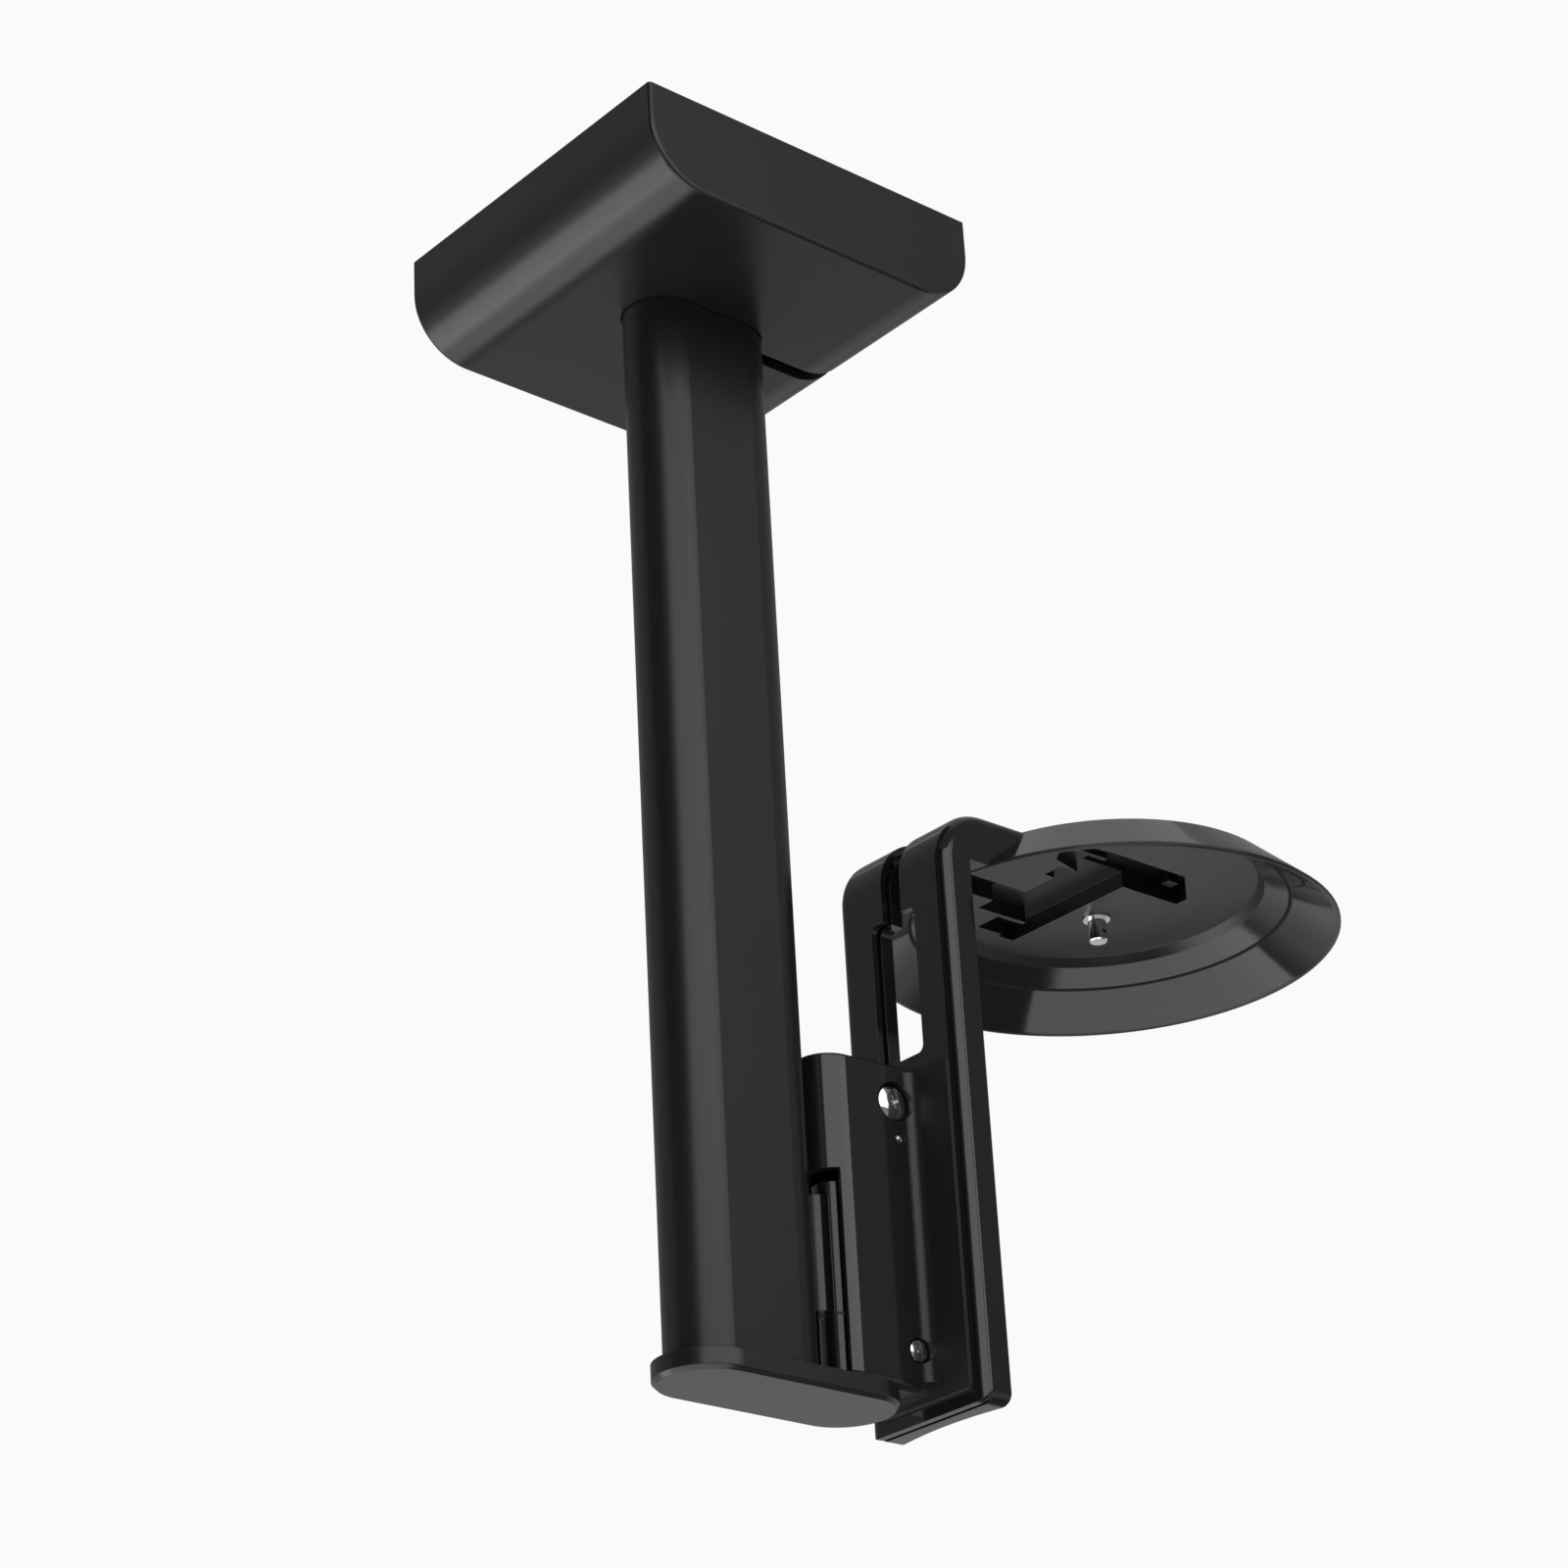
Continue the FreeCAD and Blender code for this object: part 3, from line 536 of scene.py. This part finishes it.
def domed(radius, rise):
    """Profile of a shallow domed face, from near its middle to its rim."""
    parts = [max(i / DOME_STEPS, DOME_MIDDLE) for i in range(DOME_STEPS + 1)]
    return [(radius * part, rise * part ** 2) for part in parts]


def combine(piece, other, operation):
    """Cuts another piece from this one or unites the two, and removes the other."""
    pick(piece)
    change = piece.modifiers.new("change", "BOOLEAN")
    change.operation = operation
    change.solver = "EXACT"
    change.object = other
    bpy.ops.object.modifier_apply(modifier=change.name)
    bpy.data.objects.remove(other)


def recess_blade(span, width, depth, turn):
    """One blade of a cross recess, which narrows towards its tip."""
    deselect()
    bpy.ops.mesh.primitive_cube_add(size=1.0)
    blade = bpy.context.object
    blade.scale = (span, width, 2 * depth)
    blade.rotation_euler = (0, 0, turn)
    settle(blade)
    edit(blade)
    bpy.ops.mesh.select_all(action="DESELECT")
    leave_edit()
    for face in blade.data.polygons:
        face.select = face.normal.z < -0.5
    edit(blade)
    bpy.ops.transform.resize(value=(RECESS_TIP, RECESS_TIP, 1.0), center_override=(0, 0, -depth))
    leave_edit()
    return blade


def cross_recess(span, width, depth):
    """Cutter for a cross recess: two blades, a quarter turn apart."""
    cutter = recess_blade(span, width, depth, RECESS_TURN)
    combine(cutter, recess_blade(span, width, depth, RECESS_TURN + math.pi / 2), "UNION")
    return cutter


def hexagon_recess(flats, depth):
    deselect()
    bpy.ops.mesh.primitive_cylinder_add(vertices=6, radius=flats / math.sqrt(3), depth=2 * depth)
    return bpy.context.object


def place(piece, spot, outward):
    """Turns +Z of a fastener to the outward direction and moves its head's face to the spot."""
    turn = Vector((0, 0, 1)).rotation_difference(Vector(outward)).to_matrix().to_4x4()
    piece.matrix_world = Matrix.Translation(spot) @ turn
    settle(piece)
    return piece


def make_domed_screw(node, name, head, head_height, shank, sink=0.0):
    """Domed screw with a cross recess, its head's face where the frame has it or sunk below that."""
    low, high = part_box(node)
    length = high.y - low.y - sink
    head_height -= sink
    profile = domed(head, head * DOME_RISE) + [(head, head_height), (shank, head_height)]
    screw = turned_bar(name, profile + thread(shank, head_height + DOMED_NECK, length))
    span, width, depth = DOMED_RECESS
    combine(screw, cross_recess(head * span, head * width, head_height * depth), "DIFFERENCE")
    spot = middle(node)
    return place(screw, (spot.x, low.y + sink, spot.z), (0, -1, 0))


def make_sunk_screws(name, sizes, outward, spots, length):
    """Screws with sunk heads and cross recesses, modelled once and copied to each spot."""
    head, shank = sizes
    sink = head - shank
    profile = [(head * (1 - SUNK_EDGE), 0.0), (head, head * SUNK_EDGE), (shank, sink)]
    first = turned_bar(name, profile + thread(shank, sink + SUNK_NECK, length))
    span, width, depth = SUNK_RECESS
    combine(first, cross_recess(head * span, head * width, head * depth), "DIFFERENCE")
    copies = []
    for spot in spots:
        pick(first)
        bpy.ops.object.duplicate()
        copies.append(place(bpy.context.object, spot, outward))
    bpy.data.objects.remove(first)
    return join(copies, name)


def make_lock_bolt(finishes):
    screw = make_domed_screw(
        "lock_bolt", "lock_bolt_threaded", LOCK_HEAD, LOCK_HEAD_HEIGHT, LOCK_SHANK, LOCK_SINK)
    stand_for(screw, "lock_bolt", "bright_chrome", "head", finishes)


def make_pivot_screw(finishes):
    screw = make_domed_screw(
        "pivot_screw", "pivot_screw_threaded", PIVOT_HEAD, PIVOT_HEAD_HEIGHT, PIVOT_SHANK)
    stand_for(screw, "pivot_screw", "bright_chrome", "head", finishes)


def make_grub_screw(finishes):
    """Headless screw with a hexagon socket in its face."""
    low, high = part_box("grub_screw")
    radius = (high.x - low.x) / 2
    length = high.y - low.y
    profile = [(radius * GRUB_FACE, 0.0)] + thread(radius, GRUB_CHAMFER, length)
    screw = turned_bar("grub_screw_threaded", profile)
    combine(screw, hexagon_recess(GRUB_SOCKET, GRUB_SOCKET_DEPTH), "DIFFERENCE")
    spot = middle("grub_screw")
    place(screw, (spot.x, low.y, spot.z), (0, -1, 0))
    stand_for(screw, "grub_screw", "bright_chrome", "head", finishes)


def make_column_screws(finishes):
    """The four screws that hold the column to the ceiling plate."""
    head = COLUMN_SCREW[0]
    low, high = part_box("column_screws")
    spots = [(x, y, high.z) for x in (low.x + head, high.x - head) for y in (low.y + head, high.y - head)]
    screws = make_sunk_screws("column_screws_threaded", COLUMN_SCREW, (0, 0, 1), spots, high.z - low.z)
    stand_for(screws, "column_screws", "screw_steel", "post", finishes)


def make_hinge_bracket_screws(finishes):
    """The two screws that hold the hinge bracket's saddle in the column."""
    head = COLUMN_SCREW[0]
    low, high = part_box("hinge_bracket_screws")
    spots = [(high.x, middle("hinge_bracket_screws").y, z) for z in (low.z + head, high.z - head)]
    screws = make_sunk_screws(
        "hinge_bracket_screws_threaded", COLUMN_SCREW, (1, 0, 0), spots, high.x - low.x)
    stand_for(screws, "hinge_bracket_screws", "screw_steel", "post", finishes)


def make_cradle_screws(finishes):
    """The four screws in the cradle's hollow front, whose faces lie at two depths."""
    head = CRADLE_SCREW[0]
    low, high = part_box("cradle_screws")
    points = [vertex.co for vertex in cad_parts["cradle_screws"].data.vertices]
    near_pair = [point.x for point in points if point.y < low.y + 2 * head]
    length = max(near_pair) - min(near_pair)
    spots = []
    for y in (low.y + head, high.y - head):
        face = max(point.x for point in points if abs(point.y - y) < head)
        spots += [(face, y, z) for z in (low.z + head, high.z - head)]
    screws = make_sunk_screws("cradle_screws_threaded", CRADLE_SCREW, (1, 0, 0), spots, length)
    stand_for(screws, "cradle_screws", "screw_steel", "head", finishes)


def make_fasteners(finishes):
    make_lock_bolt(finishes)
    make_pivot_screw(finishes)
    make_grub_screw(finishes)
    make_column_screws(finishes)
    make_hinge_bracket_screws(finishes)
    make_cradle_screws(finishes)


# Ribs


def make_gussets(finishes):
    """Two ribs that fill the inner corner between the cradle's back and its dish, beside the cable slot."""
    ribs = []
    for side in (-1, 1):
        deselect()
        bpy.ops.mesh.primitive_cube_add(size=1.0)
        rib = bpy.context.object
        rib.scale = (RIB_X[1] - RIB_X[0], RIB_HALF - RIB_SLOT, RIB_Z[1] - RIB_Z[0])
        rib.location = (sum(RIB_X) / 2, DISH.y + side * (RIB_HALF + RIB_SLOT) / 2, sum(RIB_Z) / 2)
        settle(rib)
        deselect()
        bpy.ops.mesh.primitive_cone_add(
            vertices=RING_SIDES, radius1=RING_LOW[0], radius2=RING_HIGH[0],
            depth=RING_HIGH[1] - RING_LOW[1], location=(DISH.x, DISH.y, (RING_LOW[1] + RING_HIGH[1]) / 2))
        combine(rib, bpy.context.object, "DIFFERENCE")
        ribs.append(rib)
    dress(join(ribs, "cradle_gussets"), "gloss_black_plastic", "head", finishes, SMOOTH_RIB)


# Studio


def path_mask(tree):
    """One for rays that come from the camera, a mirror or glass."""
    path = tree.nodes.new("ShaderNodeLightPath")
    seen = math_node(tree, "ADD", path.outputs["Is Camera Ray"], path.outputs["Is Glossy Ray"])
    seen = math_node(tree, "ADD", seen, path.outputs["Is Transmission Ray"])
    return math_node(tree, "MINIMUM", seen, 1.0)


def make_world():
    """Pale all round where it is seen, and dimmer as a light."""
    world = bpy.data.worlds.new("studio")
    bpy.context.scene.world = world
    world.use_nodes = True
    tree = world.node_tree
    tree.nodes.clear()
    dim = tree.nodes.new("ShaderNodeBackground")
    dim.inputs["Color"].default_value = PALE
    dim.inputs["Strength"].default_value = WORLD_LIGHT
    pale = tree.nodes.new("ShaderNodeBackground")
    pale.inputs["Color"].default_value = PALE
    mix = tree.nodes.new("ShaderNodeMixShader")
    out = tree.nodes.new("ShaderNodeOutputWorld")
    tree.links.new(path_mask(tree), mix.inputs[0])
    tree.links.new(dim.outputs[0], mix.inputs[1])
    tree.links.new(pale.outputs[0], mix.inputs[2])
    tree.links.new(mix.outputs[0], out.inputs["Surface"])


def stage_material(name, tone, roughness, specular):
    """Plain grey material, and its shader."""
    material = bpy.data.materials.new(name)
    material.use_nodes = True
    shader = material.node_tree.nodes["Principled BSDF"]
    shader.inputs["Base Color"].default_value = opaque(grey(tone))
    shader.inputs["Roughness"].default_value = roughness
    shader.inputs["Specular IOR Level"].default_value = specular
    return material, shader


def make_floor():
    """Floor far below, which glows where it is seen, so that no horizon shows."""
    deselect()
    bpy.ops.mesh.primitive_plane_add(size=FLOOR_SIZE, location=(0, 0, FLOOR_HEIGHT))
    floor = bpy.context.object
    floor.name = "floor"
    material, shader = stage_material("pale_floor", tone=0.8, roughness=0.9, specular=0.5)
    tree = material.node_tree
    shader.inputs["Emission Color"].default_value = PALE
    glow = math_node(tree, "MULTIPLY", path_mask(tree), FLOOR_GLOW)
    tree.links.new(glow, shader.inputs["Emission Strength"])
    floor.data.materials.append(material)


def make_tent():
    """Dark cloth around the set, which the camera doesn't see, so that gloss has something dark to mirror."""
    deselect()
    bpy.ops.mesh.primitive_uv_sphere_add(
        segments=TENT_SEGMENTS, ring_count=TENT_RINGS, radius=TENT_RADIUS)
    tent = bpy.context.object
    tent.name = "dark_tent"
    material, shader = stage_material("dark_cloth", tone=0.02, roughness=1.0, specular=0.0)
    tree = material.node_tree
    share = math_node(tree, "DIVIDE", along(tree, "Z"), 2 * TENT_RADIUS)
    tones = tree.nodes.new("ShaderNodeValToRGB")
    stops = tones.color_ramp.elements
    while len(stops) < len(TENT_TONES):
        stops.new(0.5)
    for stop, (height, tone) in zip(stops, TENT_TONES):
        stop.position = height
        stop.color = opaque(grey(tone))
    tree.links.new(math_node(tree, "ADD", share, 0.5), tones.inputs[0])
    tree.links.new(tones.outputs["Color"], shader.inputs["Emission Color"])
    shader.inputs["Emission Strength"].default_value = 1.0
    tent.data.materials.append(material)
    tent.visible_camera = False
    tent.visible_shadow = False


def seen_from_camera(turn, elevation, distance):
    """Spot at a turn to the camera's right and at an elevation, seen from the object's middle."""
    heading = CAMERA_AZIMUTH - math.radians(turn)
    rise = math.radians(elevation)
    level = math.cos(rise)
    back = Vector((-math.sin(heading) * level, -math.cos(heading) * level, math.sin(rise)))
    return MIDDLE + back * distance


def facing(spot, aim):
    """Rotation of a lamp or card at the spot that looks at the aim."""
    return (Vector(aim) - Vector(spot)).to_track_quat("-Z", "Y").to_euler()


def make_flag():
    """Black card to the camera's left, seen only in gloss, where it darkens the column's rounded side."""
    start, end = FLAG_TURNS
    spot = seen_from_camera((start + end) / 2, KEY_ELEVATION, FLAG_DISTANCE)
    deselect()
    bpy.ops.mesh.primitive_plane_add(size=1.0, location=spot)
    flag = bpy.context.object
    flag.name = "black_flag"
    flag.scale = (2 * FLAG_DISTANCE * math.tan(math.radians(end - start) / 2), FLAG_HEIGHT, 1.0)
    flag.rotation_euler = facing(spot, MIDDLE)
    material, _ = stage_material("black_card", tone=0.005, roughness=1.0, specular=0.0)
    flag.data.materials.append(material)
    flag.visible_camera = False
    flag.visible_shadow = False
    flag.visible_diffuse = False


def make_softbox(name, spot, aim, size, power):
    lamp = bpy.data.lights.new(name, "AREA")
    lamp.shape = "RECTANGLE"
    lamp.size, lamp.size_y = size
    lamp.energy = power
    box = bpy.data.objects.new(name, lamp)
    bpy.context.scene.collection.objects.link(box)
    box.location = spot
    box.rotation_euler = facing(spot, aim)


def make_lamps():
    """Key of two upright panels, and softboxes below, at the side and above."""
    reach = KEY_DISTANCE * math.cos(math.radians(KEY_ELEVATION))
    for name, start, end in KEY_PANELS:
        spot = seen_from_camera((start + end) / 2, KEY_ELEVATION, KEY_DISTANCE)
        width = 2 * reach * math.tan(math.radians((end - start) / 2))
        power = KEY_POWER * width * KEY_HEIGHT
        make_softbox(name, spot, (MIDDLE.x, MIDDLE.y, spot.z), (width, KEY_HEIGHT), power)
    make_softbox("low_softbox", LOW_SPOT, LOW_AIM, LOW_SIZE, LOW_POWER)
    side_spot = seen_from_camera(SIDE_TURN, SIDE_ELEVATION, SIDE_DISTANCE)
    make_softbox("side_softbox", side_spot, MIDDLE, SIDE_SIZE, SIDE_POWER)
    make_softbox("top_softbox", TOP_SPOT, MIDDLE, TOP_SIZE, TOP_POWER)


def make_camera():
    lens = bpy.data.cameras.new("camera")
    lens.lens = CAMERA_LENS
    lens.sensor_width = CAMERA_SENSOR
    lens.clip_start, lens.clip_end = CAMERA_CLIP
    camera = bpy.data.objects.new("camera", lens)
    bpy.context.scene.collection.objects.link(camera)
    turn = Matrix.Rotation(-CAMERA_AZIMUTH, 4, "Z")
    turn = turn @ Matrix.Rotation(math.pi / 2 + CAMERA_ELEVATION, 4, "X")
    turn = turn @ Matrix.Rotation(CAMERA_ROLL, 4, "Z")
    camera.matrix_world = Matrix.Translation(CAMERA_PLACE) @ turn
    bpy.context.scene.camera = camera


deselect()
finishes = make_finishes()
dress_frame(finishes)
make_fasteners(finishes)
make_gussets(finishes)
make_world()
make_floor()
make_tent()
make_flag()
make_lamps()
make_camera()
bpy.context.scene.view_settings.view_transform = "Standard"
